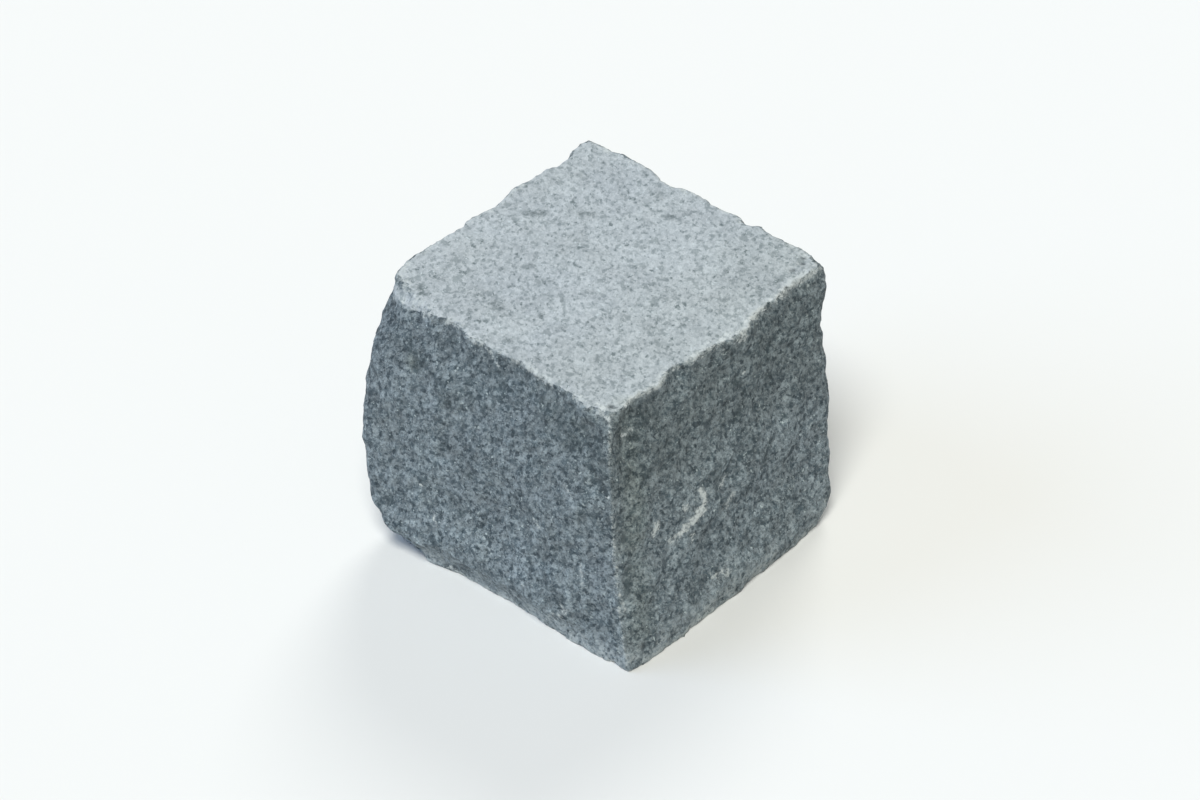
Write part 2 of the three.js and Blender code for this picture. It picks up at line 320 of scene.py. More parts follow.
# Each row is one mark: the points of its path, then its width, its strength and its depth. The last two
# can be left out.
SOUTH_MARKS = marks(
    Carrier.PIT,
    ((-20.5, -49, 91), (-17, -50.5, 86), 1.1, 0.5, 0.3),
    ((46, -49.5, 70.5), 2.2, 1, 0.5),
) + marks(
    Carrier.STAIN,
    ((-25, -51, 84), 4, 0.7),
    ((-30.5, -49.5, 85.5), 2.8, 0.7),
    ((-32, -53, 65), 3.8, 0.8),
    ((-15, -53, 74.5), 4.4, 0.8),
    ((-14.5, -47, 95.5), 3.4, 0.6),
    ((-9, -52, 69.5), 3.4, 0.6),
    ((21, -49, 90.5), (34, -49.5, 91), 5, 0.5),
    ((-6.5, -52.5, 49.5), 2.6, 0.9),
    ((-11.5, -51.5, 32), 2.6, 0.9),
    ((5, -49.5, 27), 2.4, 0.7),
    ((44, -49.5, 88), (46, -49.5, 76), 4, 0.4),
    ((-14.5, -52.5, 80), (15.5, -48, 93), (35, -49.5, 83), 11, 0.3),
    ((-26.5, -52.5, 32.5), 13, 0.25),
) + marks(
    Carrier.BRUISE,
    ((47.9, -49.7, 68.7), 1.4, 0.9),
    ((-26.5, -52.5, 35.5), 1.5, 0.9),
    ((-22.5, -52, 25), (-21.5, -52, 22), 1.5, 0.8),
    ((-1.5, -47.5, 100), (0, -48, 98.5), (4, -48, 94), 1.3, 0.6),
    ((32, -51.5, 66.5), (34.5, -51.5, 63.5), 1.2, 0.5),
    ((19, -51.5, 46), (20.5, -51, 43), 1.2, 0.7),
    ((17, -50.5, 35), 3, 0.5),
    ((13, -51, 17), 4, 0.4),
    ((36.5, -50, 39), (37, -50.5, 27.5), 1.2, 0.5),
    ((28.5, -50, 14), (18, -47, 1), 5, 0.45),
    ((-21, -47, 1), (-15.5, -46, 0.5), 3.2, 0.8),
    ((-48.5, -48.5, 12), (-42, -49.5, 5), (-37, -48.5, 1), 8, 0.1, 3),
    ((-40, -53, 49), 12, 0.17),
    ((51, -48.5, 31.5), (51.5, -48, 24), 1.3, 0.7),
)

ARRIS_MARKS = marks(
    Carrier.BRUISE,
    ((51.5, -47.5, 2), (50.5, -48.5, 12.5), (50, -49.5, 27), 1.6, 0.5, -0.5),
    ((50, -49.5, 27), (50, -50, 49), (50, -50.5, 64), 1.6, 0.42, -0.5),
    ((50, -50.5, 64), (49.5, -50, 84), (49, -49.5, 94), 1.5, 0.38, -0.4),
    ((42, -47, 100), (45.5, -48.2, 100), (48.1, -48.3, 97.6), 1.6, 0.95, -0.3),
    ((48.1, -48.3, 97.6), (49, -49.2, 94), 1.4, 0.8, -0.2),
) + marks(
    Carrier.PIT,
    ((46.4, -45.6, 100), 2.3, 0.65, 0.6),
    ((48, -44.4, 100), 1.8, 0.5, 0.4),
) + marks(
    Carrier.RUST,
    ((50.5, -42, 96), (51, -41, 70), (51, -41, 48), 11, 0.5),
    ((51, -41, 46), (51.5, -41, 12), 10, 0.35),
    ((51, -34, 84), (51, 40, 84), 46, 0.24),
    ((-29, -51, 81.5), 5, 0.5),
)

EAST_MARKS = marks(
    Carrier.BRUISE,
    ((49.5, -42, 99.5), (49, -36, 100), (50, -32, 99.5), 3.4, 0.6),
    ((50, -32, 99.5), (49, -25, 100), (48.5, -17.5, 99.1), 2.8, 0.5),
    ((49.5, -12.5, 99.8), (50.5, -5.5, 99.8), (51.5, 3, 99.5), 4.2, 0.6),
    ((51.5, 2.5, 98.5), (52.5, 7, 98), 4.4, 0.65),
    ((51, 11, 99.6), (50.5, 18.5, 99.4), 3, 0.85),
    ((50, 24, 99.6), (49.5, 33, 99.5), 3.8, 0.6),
    ((49.5, 33, 99.3), (50, 42, 98.6), (49.5, 46, 98.6), 3.8, 0.6),
    ((51, -12, 50), (52, -11, 45), (52, -14.5, 41.5), 2.3, 1),
    ((52, -12.5, 43), (52, -17, 40.5), 3.6, 1),
    ((52, -17, 40.5), (51, -25.5, 38), 3.2, 0.75),
    ((52, 3, 39), (52, -2.5, 36.5), 2.2, 0.55),
    ((50, -31, 47.5), (50, -31.5, 45), 3.2, 0.95),
    ((51.5, -19, 47.3), 2.8, 1),
    ((52.5, -17.5, 36.5), (52.5, -17.5, 33.5), 1.9, 0.75),
    ((50.5, -0.5, 46.5), (50.5, -2.5, 43.5), 2.3, 0.6),
    ((48, -39, 88), (47.5, -42, 87), 2.6, 0.6),
    ((50, -18, 93.5), 2.2, 0.5),
    ((52.5, -1, 95.5), 3, 0.5),
    ((50, 9.5, 81), 1.3, 0.85),
    ((53.5, -8.5, 14), (54, -3, 12), 3.2, 0.6),
    ((52, 44.5, 9.2), 1.6, 0.9),
    ((53, -26.5, 17.5), 2.4, 0.45),
    ((53, -22, 1.5), (53, -10.5, 2), 3.6, 0.6),
    ((53, 17, 2.5), 1.7, 0.75),
    ((51, -5.5, 91.5), 9, 0.18),
    ((52, -13, 33), 10, 0.18),
    ((53, -30, 14), (53, 25, 14), 18, 0.13),
) + marks(
    Carrier.STAIN,
    ((51.5, 9, 51.5), (50.5, -2, 49.5), 11, 0.4),
    ((49.5, -32, 84), (49.5, 32, 84), 20, 0.16),
    ((51.5, 19, 48), (51.5, 17, 42.5), 2.6, 0.6),
    ((51, 5, 67), 4.2, 0.95),
    ((50, 5.5, 78.5), 4.8, 0.85),
    ((49, 22, 71), 3.4, 0.85),
    ((52.5, 10, 95), 2.8, 0.8),
    ((50, 24, 87.5), 4.2, 0.6),
    ((50, 27.5, 52.5), 2.4, 0.8),
    ((48.5, -19, 98), 3.8, 0.6),
    ((49, -35, 93), (49, -37, 81), 5.5, 0.6),
    ((50, -34.5, 69.5), 4, 0.9),
    ((50.5, -43.5, 50), 3.2, 0.8),
    ((50.5, -44, 37.5), (51, -46, 31.5), 3, 0.8),
) + marks(
    Carrier.PIT,
    ((52, -40, 6.5), 3.2, 0.7, 0.6),
    ((52, 33.5, 20), 1.6, 0.8, 0.3),
)

TOP_MARKS = marks(
    Carrier.STAIN,
    ((-35, 8.5, 100), (-32, 11, 100), 2.9, 0.83),
    ((-22.5, 18.5, 100), (-19, 21, 100), 2, 0.88),
    ((0, 34.5, 100), 2.8, 0.88),
    ((-36, 32.5, 100), 2.4, 0.68),
    ((-14.5, 2, 100), 4, 0.58),
    ((-36, -33.5, 100), 3.2, 0.68),
    ((-36, -39.5, 100), (-32.5, -41, 100), 2.2, 0.88),
    ((-30, -44, 100), 2.1, 0.68),
    ((-28.5, -17.5, 100), 2.2, 0.58),
    ((-22.5, -17.5, 100), 2.4, 0.93),
    ((-16, -10.5, 100), 2.8, 0.83),
    ((-8, -13.5, 100), 2.5, 0.58),
    ((9, -4.5, 100), 2.5, 0.58),
    ((-13, -31, 100), (-10, -32, 100), 2.2, 0.93),
    ((2, -26.5, 100), 2.2, 0.93),
    ((-10.5, -40, 100), 2.1, 0.68),
    ((2.5, -41.5, 100), 2.9, 0.83),
    ((9.5, -28, 100), 2.8, 0.68),
    ((15, -42, 100), 2.1, 0.68),
    ((28.5, -32, 100), 3.2, 0.58),
    ((31, -24.5, 100), 2.2, 0.93),
    ((30, -5.5, 100), 2.4, 0.88),
    ((30.5, -11, 100), 2.8, 0.68),
    ((43.5, 29.5, 100), 2.2, 0.68),
    ((46.5, 22.5, 100), 2, 0.68),
    ((40, 32, 100), (28, 44, 100), 22, 0.14),
) + marks(
    Carrier.PIT,
    ((45.2, 38.3, 100), 2.3, 0.65, 0.6),
    ((43.6, 46, 100), 2.4, 0.65, 0.6),
    ((45.5, 42.5, 100), 1.8, 0.65, 0.5),
) + marks(
    Carrier.SAWN,
    ((-46, -39.5, 97), (-43, -42.5, 97), (-36, -46, 99), (-29, -46, 99.4), 3.4),
) + marks(
    Carrier.BRUISE,
    ((-44, -43, 94.5), (-36, -46.5, 97.8), (-26, -46.8, 97.6), 2.4, 0.5),
)

BACK_MARKS = marks(
    Carrier.BRUISE,
    ((-52, 30, 58), (-52, 24, 50), (-52, 21, 40), 3.4, 0.55),
    ((-52, -14, 72), (-52, -19, 66), 3, 0.5),
    ((-53, -6, 31), (-53, 6, 29), 4, 0.4),
    ((14, 50, 62), (6, 50, 55), 3.2, 0.55),
    ((-22, 50, 33), (-27, 50, 25), 3.2, 0.5),
    ((30, 49, 22), (16, 50, 25), 4.4, 0.4),
    ((-52, -35, 80), (-52, -20, 86), 13, 0.17),
    ((36, 50, 62), (24, 50, 44), 13, 0.17),
) + marks(
    Carrier.STAIN,
    ((-52, 10, 80), 6, 0.6),
    ((-52, -30, 46), (-52, -34, 36), 4, 0.6),
    ((-8, 50, 78), 6.5, 0.6),
    ((32, 49, 50), (35, 49, 38), 4, 0.7),
    ((-52, 32, 72), (-52, 12, 60), 16, 0.3),
    ((-52, -28, 20), (-52, -8, 30), 14, 0.28),
    ((20, 50, 80), (-10, 50, 66), 15, 0.3),
    ((-34, 50, 30), (-10, 50, 20), 14, 0.28),
) + marks(
    Carrier.PIT,
    ((-52, 38, 24), 2.4, 0.9, 0.5),
    ((-30, 50, 56), 2.2, 0.9, 0.5),
)


# ------------------------------------------------------------
# The stone's skin


@dataclass(frozen=True)
class Chips:
    """Small flakes broken off along the rims of the sawn faces. Lengths are in mm."""

    spacing: float = 3.2
    least_radius: float = 1.4
    most_radius: float = 6.0
    radius_power: float = 2.0
    most_bite: float = 0.34
    low_bite: float = 0.25
    back_bite: float = 0.6
    bite_power: float = 1.6
    chip_seed: int = 11


@dataclass(frozen=True)
class Grain:
    """Relief of the split sides, as wave lengths and depths in mm."""

    scallop_size: float = 15.0
    scallop_depth: float = 1.8
    scallop_power: float = 1.6
    scallop_level: float = 0.35
    front_share: float = 0.38
    lump_size: float = 9.0
    lump_depth: float = 0.55
    facet_size: float = 3.8
    facet_depth: float = 0.55
    grit_size: float = 2.2
    grit_depth: float = 0.36
    rim_width: float = 3.6
    fray_size: float = 2.3
    fray_depth: float = 1.1
    fray_level: float = 0.35
    low_fray: float = 0.15
    back_fray: float = 0.36
    grain_seed: float = 4.0


# Chips: the numbers of their random draws, and how far they swing aside, rise and crumble.
RADIUS_DRAW, BITE_DRAW, ASIDE_DRAW, RISE_DRAW = range(4)
CHIP_ASIDE = 0.9
CHIP_RISE = Slope(0.0, 1.0, 0.25, 1.3)
CHIP_GRIT = 2.2
CHIP_GRIT_SHARE = 0.05
CHIP_EDGE = 0.05
# Where a face is sawn, and where the back of the stone is.
SAWN_EDGE_SHARE = 0.3
SAWN_FACING = Slope(0.7, 0.93)
BACK_WAY: Point = (-SLANT, SLANT, 0.0)
BACK_FACING = Slope(0.1, 0.6)
# Fray: its noise, and how it fades away from the rims and down the stone.
FRAY_LAYERS, FRAY_ROUGH, FRAY_SEED_STEP = 3.0, 0.6, 5.0
FRAY_NOTCH = Slope(0.42, 0.68)
FRAY_NEAR = Slope(0.3, 0.95)
FRAY_HEIGHT = Slope(0.2, 0.8)
# Bends of the grain: waves in a mm, and reach in mm.
SCALLOP_BEND = (1 / 12.0, 9.0)
FACET_BEND = (1 / 3.4, 2.2)


class Weathering(Bench):
    """The geometry nodes that weather the skin. Their sizes are in mm, and a seat on a rim is in metres."""

    def __init__(self, sizes: dict[str, float]) -> None:
        """Starts the tree with its sockets.

        Args:
            sizes: The sizes that it takes, by name.
        """
        super().__init__(bpy.data.node_groups.new("sett_weathering", "GeometryNodeTree"))
        self.sockets("INPUT", Geometry="Geometry", rims="Object", finish="Material", **sizes)
        self.sockets("OUTPUT", Geometry="Geometry")
        self.given = self.add("NodeGroupInput").outputs
        self.place = self.vector("SCALE", self.here(), 1 / MM)
        self.normal = self.add("GeometryNodeInputNormal").outputs[0]

    def build(self) -> Tree:
        """Chips and frays the rims, raises the grain of the split sides, and stores what the finish reads.

        Returns:
            The tree.
        """
        path = self.add("GeometryNodeObjectInfo", Object=self.given["rims"]).outputs["Geometry"]
        shape = self.store(self.given["Geometry"], Carrier.SAWN, self.sawn_share())
        shape = self.chip_rims(shape, path)
        near = self.add("GeometryNodeProximity", {"target_element": "EDGES"}, i0=path).outputs["Distance"]
        rim = self.ramp(self.math("DIVIDE", near, MM), 0.0, self.given["rim width"], 1.0, 0.0)
        shape = self.fray(self.store(shape, Carrier.RIM, rim))
        raised = self.times(self.relief(), self.minus(1.0, self.read(Carrier.SAWN)))
        shape = self.store(shape, Carrier.PROUD, raised)
        lift = self.vector("SCALE", self.normal, self.times(self.read(Carrier.PROUD), MM))
        shape = self.add("GeometryNodeSetPosition", Geometry=shape, Offset=lift).outputs[0]
        shape = self.add("GeometryNodeSetShadeSmooth", Geometry=shape, Shade_Smooth=True).outputs[0]
        shape = self.add("GeometryNodeRealizeInstances", Geometry=shape).outputs[0]
        shape = self.add("GeometryNodeSetMaterial", Geometry=shape, Material=self.given["finish"]).outputs[0]
        self.add("NodeGroupOutput", Geometry=shape)
        return self.tree

    def here(self) -> Socket:
        """Returns the place of each point in metres."""
        return self.add("GeometryNodeInputPosition").outputs[0]

    def store(self, shape: Socket, carrier: Carrier, value: Socket, where: object = True) -> Socket:
        """Returns the shape with a number stored on its points, or on some of them."""
        inputs = {"Geometry": shape, "Selection": where, "Name": carrier.value, "Value": value}
        settings = {"data_type": "FLOAT", "domain": "POINT"}
        return self.add("GeometryNodeStoreNamedAttribute", settings, **inputs).outputs[0]

    def read(self, carrier: Carrier) -> Socket:
        """Returns what a point of the shape carries."""
        node = self.add("GeometryNodeInputNamedAttribute", {"data_type": "FLOAT"}, Name=carrier.value)
        return node.outputs[0]

    def sawn_share(self) -> Socket:
        """Returns 1 on the sawn faces, and 0 on the split sides."""
        half = self.times(self.given["height"], 0.5)
        off = self.minus(half, self.math("ABSOLUTE", self.minus(self.part(self.place, "Z"), half)))
        band = self.given["sawn band"]
        level = self.ramp(off, self.times(band, SAWN_EDGE_SHARE), band, 1.0, 0.0)
        facing = self.math("ABSOLUTE", self.part(self.normal, "Z"))
        return self.times(level, self.ramp(facing, *SAWN_FACING))

    def chip_rims(self, shape: Socket, path: Socket) -> Socket:
        """Breaks small flakes off the rims, one after another.

        Args:
            shape: The skin.
            path: The rims.

        Returns:
            The chipped skin. Its sawn share falls to 0 in each scar.
        """
        given = self.given
        curve = self.add("GeometryNodeMeshToCurve", Mesh=path).outputs[0]
        spacing = self.times(given["spacing"], MM)
        spread = self.add("GeometryNodeCurveToPoints", {"mode": "LENGTH"}, Curve=curve, Length=spacing)
        seats = spread.outputs[0]
        count = self.add("GeometryNodeAttributeDomainSize", {"component": "POINTCLOUD"}, Geometry=seats)
        start = self.add("GeometryNodeRepeatInput")
        end = self.add("GeometryNodeRepeatOutput")
        start.pair_with_output(end)
        self.join(start, "Iterations", count.outputs[0])
        self.join(start, "Geometry", shape)
        turn = start.outputs["Iteration"]
        chosen = {"Geometry": seats, "Value": self.here(), "Index": turn}
        settings = {"data_type": "FLOAT_VECTOR", "domain": "POINT"}
        seat = self.add("GeometryNodeSampleIndex", settings, **chosen).outputs[0]
        draw = partial(self.draw, turn)
        share = self.math("POWER", draw(RADIUS_DRAW), given["radius power"])
        radius = self.times(self.blend(share, given["least radius"], given["most radius"]), MM)
        upper = self.math("GREATER_THAN", self.part(seat, "Z"), self.times(given["height"], 0.5 * MM))
        most = self.times(
            given["most bite"],
            self.blend(upper, given["low bite"], 1.0),
            self.blend(self.back(seat), 1.0, given["back bite"]),
        )
        bite = self.times(self.math("POWER", draw(BITE_DRAW), given["bite power"]), most, MM)
        middle = self.moved(seat, self.chip_facing(seat, upper, draw), self.minus(radius, bite))
        spot = self.here()
        away = self.vector("SUBTRACT", spot, middle)
        distance = self.vector("LENGTH", away)
        settings = {"data_type": "FLOAT", "operation": "LESS_THAN"}
        struck = self.add("FunctionNodeCompare", settings, i0=distance, i1=radius).outputs[0]
        grit = self.noise(spot, CHIP_GRIT * MM, 1.0, turn)
        reach = self.times(radius, self.minus(1.0, self.times(grit, CHIP_GRIT_SHARE)))
        landed = self.moved(middle, self.vector("NORMALIZE", away), self.math("MAXIMUM", distance, reach))
        left = self.ramp(self.minus(distance, reach), -CHIP_EDGE * MM, CHIP_EDGE * MM)
        left = self.math("MINIMUM", self.read(Carrier.SAWN), left)
        worn = self.store(start.outputs["Geometry"], Carrier.SAWN, left, struck)
        moved = self.add("GeometryNodeSetPosition", Geometry=worn, Selection=struck, Position=landed)
        self.join(end, "Geometry", moved.outputs[0])
        return end.outputs["Geometry"]

    def draw(self, turn: Socket, number: int) -> Socket:
        """Returns a random share from 0 to 1, by the chip's turn and the number of the draw."""
        seed = self.plus(self.given["chip seed"], float(number))
        return self.add("FunctionNodeRandomValue", {"data_type": "FLOAT"}, ID=turn, Seed=seed).outputs[1]

    def chip_facing(self, seat: Socket, upper: Socket, draw: Callable[[int], Socket]) -> Socket:
        """Points a chip out of the stone, between its side and its sawn face.

        Args:
            seat: The chip's place on the rim.
            upper: 1 on the top rim, and 0 on the bottom one.
            draw: Gives the chip's random shares.

        Returns:
            A unit vector.
        """
        outward = self.outward(seat)
        along = self.vector("CROSS_PRODUCT", outward, UPWARD)
        aside = self.moved(outward, along, self.times(self.minus(draw(ASIDE_DRAW), 0.5), CHIP_ASIDE))
        rise = self.times(self.minus(self.times(upper, 2.0), 1.0), self.ramp(draw(RISE_DRAW), *CHIP_RISE))
        return self.vector("NORMALIZE", self.moved(aside, UPWARD, rise))

    def fray(self, shape: Socket) -> Socket:
        """Frays the rims: bites small uneven notches into them from the side.

        Args:
            shape: The skin, with its rim share stored.

        Returns:
            The frayed skin.
        """
        given = self.given
        seed = self.plus(given["grain seed"], FRAY_SEED_STEP)
        notches = self.noise(self.place, given["fray size"], FRAY_LAYERS, seed, FRAY_ROUGH)
        notch = self.minus(self.ramp(notches, *FRAY_NOTCH), given["fray level"])
        close = self.ramp(self.read(Carrier.RIM), *FRAY_NEAR)
        height = self.math("DIVIDE", self.part(self.place, "Z"), given["height"])
        sharp = self.ramp(height, *FRAY_HEIGHT[:2], given["low fray"], 1.0)
        sharp = self.times(sharp, self.blend(self.back(self.place), 1.0, given["back fray"]))
        deep = self.times(notch, close, sharp, given["fray depth"], -MM)
        inward = self.vector("SCALE", self.outward(self.place), deep)
        return self.add("GeometryNodeSetPosition", Geometry=shape, Offset=inward).outputs[0]

    def outward(self, place: Socket) -> Socket:
        """Returns the level way out of the stone: square to its sides, and slanting at its corners."""
        flat = self.vector("MULTIPLY", place, (1.0, 1.0, 0.0))
        cubed = self.vector("MULTIPLY", flat, self.vector("MULTIPLY", flat, flat))
        return self.vector("NORMALIZE", cubed)

    def back(self, place: Socket) -> Socket:
        """Returns 1 on the two sides at the back of the stone, and 0 on the two at its front."""
        return self.ramp(self.vector("DOT_PRODUCT", self.outward(place), BACK_WAY), *BACK_FACING)

    def relief(self) -> Socket:
        """Makes the grain of a split face: scallops left by blows, lumps, small flat facets and grit.

        Returns:
            How far each point stands out, in mm.
        """
        given, place = self.given, self.place
        seed = given["grain seed"]
        scallop = self.cells(self.bent(place, seed, *SCALLOP_BEND), given["scallop size"], seed)
        hollow = self.math("POWER", scallop["Distance"], given["scallop power"])
        hollow = self.minus(hollow, given["scallop level"])
        share = self.blend(self.back(place), given["front share"], 1.0)
        bent = self.bent(place, seed, *FACET_BEND)
        facet = self.cells(bent, given["facet size"], seed)
        slope = self.minus(self.part(facet["Color"], "X"), facet["Distance"])
        lumps = self.minus(self.noise(place, given["lump size"], 2.0, seed), 0.5)
        grit = self.minus(self.noise(bent, given["grit size"], 1.0, seed), 0.5)
        broad = self.plus(
            self.times(share, given["scallop depth"], hollow),
            self.times(given["lump depth"], 2.0, lumps),
        )
        fine = self.plus(
            self.times(given["facet depth"], 0.5, slope),
            self.times(given["grit depth"], 2.0, grit),
        )
        return self.plus(broad, fine)


@dataclass
class Sett:
    """The stone: its skin, and the marks on it. Lengths are in mm."""

    height: float = 100.0
    skin_cell: float = 0.85
    sawn_band: float = 0.35
    merge_reach: float = 0.002
    flat_facing: float = 0.9995
    chart_fill: float = 0.9
    chips: Chips = field(default_factory=Chips)
    grain: Grain = field(default_factory=Grain)
    marks: tuple[Mark, ...] = SOUTH_MARKS + EAST_MARKS + ARRIS_MARKS + TOP_MARKS + BACK_MARKS

    def build(self, material: bpy.types.Material) -> bpy.types.Object:
        """Makes the finished stone and gives it to its body.

        Args:
            material: The finish of the whole stone.

        Returns:
            The stone, in place.
        """
        solid, rim = self.solid_and_rim()
        stone, rims = put("sett_stone", solid), put("sett_rims", rim)
        self.skin(stone, rims, material)
        self.lay_marks(stone.data)
        self.unwrap(stone.data)
        bpy.data.objects.remove(rims)
        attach(stone, BODY)
        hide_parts(NODE)
        log.info("sett_stone: %d points, %d faces", len(stone.data.vertices), len(stone.data.polygons))
        return stone

    def solid_and_rim(self) -> tuple[bpy.types.Mesh, bpy.types.Mesh]:
        """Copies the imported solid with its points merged, and takes the rims of its sawn faces.

        Returns:
            The closed copy, and a mesh of the edges round its top and bottom.
        """
        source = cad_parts[NODE].data
        form = bmesh.new()
        form.from_mesh(source)
        bmesh.ops.remove_doubles(form, verts=form.verts, dist=self.merge_reach * MM)
        solid = bpy.data.meshes.new("sett_solid")
        form.to_mesh(solid)
        flat = {face for face in form.faces if abs(face.normal.z) > self.flat_facing}
        edges = [e for e in form.edges if len(e.link_faces) == 2 and len(flat & set(e.link_faces)) == 1]
        places = sorted({v.index for e in edges for v in e.verts})
        order = {index: i for i, index in enumerate(places)}
        form.verts.ensure_lookup_table()
        rim = bpy.data.meshes.new("sett_rim_path")
        points = [form.verts[i].co[:] for i in places]
        rim.from_pydata(points, [[order[v.index] for v in e.verts] for e in edges], [])
        form.free()
        return solid, rim

    def skin(self, stone: bpy.types.Object, rims: bpy.types.Object, material: bpy.types.Material) -> None:
        """Gives the stone its even skin and its relief, and leaves a plain mesh.

        Args:
            stone: The stone, with the solid as its mesh.
            rims: The paths that chips follow.
            material: The finish of the whole stone.
        """
        remesh = stone.modifiers.new("skin", "REMESH")
        remesh.mode = "VOXEL"
        remesh.voxel_size = self.skin_cell * MM
        remesh.use_smooth_shade = True
        sizes = {"height": self.height, "sawn_band": self.sawn_band}
        sizes |= asdict(self.chips) | asdict(self.grain)
        carve = stone.modifiers.new("weathering", "NODES")
        carve.node_group = Weathering(sizes).build()
        wanted = {"rims": rims, "finish": material, **sizes}
        for item in carve.node_group.interface.items_tree:
            name = item.name.replace(" ", "_")
            if item.in_out == "INPUT" and name in wanted:
                carve[item.identifier] = wanted[name]
        bpy.context.view_layer.update()
        ready = stone.evaluated_get(bpy.context.evaluated_depsgraph_get())
        mesh = bpy.data.meshes.new_from_object(ready)
        stone.modifiers.clear()
        stone.data = mesh
        mesh.name = "sett_skin"

    def lay_marks(self, mesh: bpy.types.Mesh) -> None:
        """Lays every mark on the skin: presses the deep ones in and stores how strong each kind is.

        Args:
            mesh: The skin, in metres.
        """
        places = values_of(mesh.vertices, "co", np.float32, 3) / MM
        normals = values_of(mesh.vertices, "normal", np.float32, 3)
        press = np.zeros(len(places))
        for kind in (Carrier.SAWN, Carrier.BRUISE, Carrier.PIT, Carrier.STAIN, Carrier.RUST):
            carried = mesh.attributes.get(kind.value) or mesh.attributes.new(kind.value, "FLOAT", "POINT")
            strength = values_of(carried.data, "value", np.float32)
            for mark in (m for m in self.marks if m.kind is kind):
                reach = mark.reach(places)
                strength = np.maximum(strength, reach)
                press += mark.depth * reach / mark.strength
            carried.data.foreach_set("value", strength.astype(np.float32))
        places -= press[:, None] * normals
        places[:, 2] = np.clip(places[:, 2], 0.0, self.height)
        mesh.vertices.foreach_set("co", (places * MM).astype(np.float32).ravel())
        mesh.update()
        log.info("laid %d marks", len(self.marks))

    def unwrap(self, mesh: bpy.types.Mesh) -> None:
        """Gives the skin a map of six squares, one for each way that it faces from its middle.

        Args:
            mesh: The finished skin.
        """
        places = np.array([v.co for v in mesh.vertices]) / MM - (0, 0, self.height / 2)
        corners = values_of(mesh.loops, "vertex_index", np.int32)
        counts = values_of(mesh.polygons, "loop_total", np.int32)
        starts = np.concatenate(([0], np.cumsum(counts)[:-1]))
        middles = np.add.reduceat(places[corners], starts, axis=0) / counts[:, None]
        facing = np.argmax(np.abs(middles), axis=1)
        far_side = middles[np.arange(len(facing)), facing] < 0
        axis, row = np.repeat(facing, counts), np.repeat(far_side, counts)
        spots = places[corners]
        order = np.arange(len(corners))
        deep = np.abs(spots[order, axis])
        across = spots[order, (axis + 1) % 3] / deep
        upward = spots[order, (axis + 2) % 3] / deep
        u = (axis + 0.5 + 0.5 * self.chart_fill * across) / 3
        v = (row + 0.5 + 0.5 * self.chart_fill * upward) / 2
        layer = mesh.uv_layers.new(name="OFBake")
        layer.data.foreach_set("uv", np.stack([u, v], axis=1).astype(np.float32).ravel())


# ------------------------------------------------------------
# The finish


@dataclass(frozen=True)
class StoneFace:
    """How one kind of face of the stone looks, by default a split side. Levels are heights in soft noise."""

    base: Colour = (0.169, 0.207, 0.226)
    dark: Colour = (0.026, 0.042, 0.054)
    pale: Colour = (0.40, 0.46, 0.47)
    crystal: float = 1.3
    dark_level: float = 0.415
    dark_strength: float = 0.76
    pale_level: float = 0.645
    mottle: float = 1.5
    mottle_depth: float = 0.52
    bend: float = 0.6
    round_share: float = 0.0
    roughness: float = 0.9
    seed: float = 3.0
    flow: tuple[Point, ...] = ((SLANT, 0.0, SLANT), (0.0, SLANT, -SLANT))
    flow_share: float = 0.28
    deep_tint: Colour = (0.92, 1.02, 1.08)
    light_tint: Colour = (1.035, 0.985, 0.965)


SAWN = StoneFace(
    base=(0.402, 0.443, 0.47),
    dark=(0.115, 0.149, 0.158),
    pale=(0.50, 0.56, 0.585),
    crystal=1.2,
    dark_level=0.418,
    dark_strength=0.78,
    pale_level=0.64,
    mottle_depth=0.17,
    bend=1.0,
    round_share=0.45,
    roughness=0.78,
    seed=8.0,
    flow=((SLANT, -SLANT, 0.0),),
    flow_share=0.25,
    deep_tint=(0.99, 1.0, 1.0),
    light_tint=(1.015, 1.0, 0.985),
)
SPLIT = StoneFace()


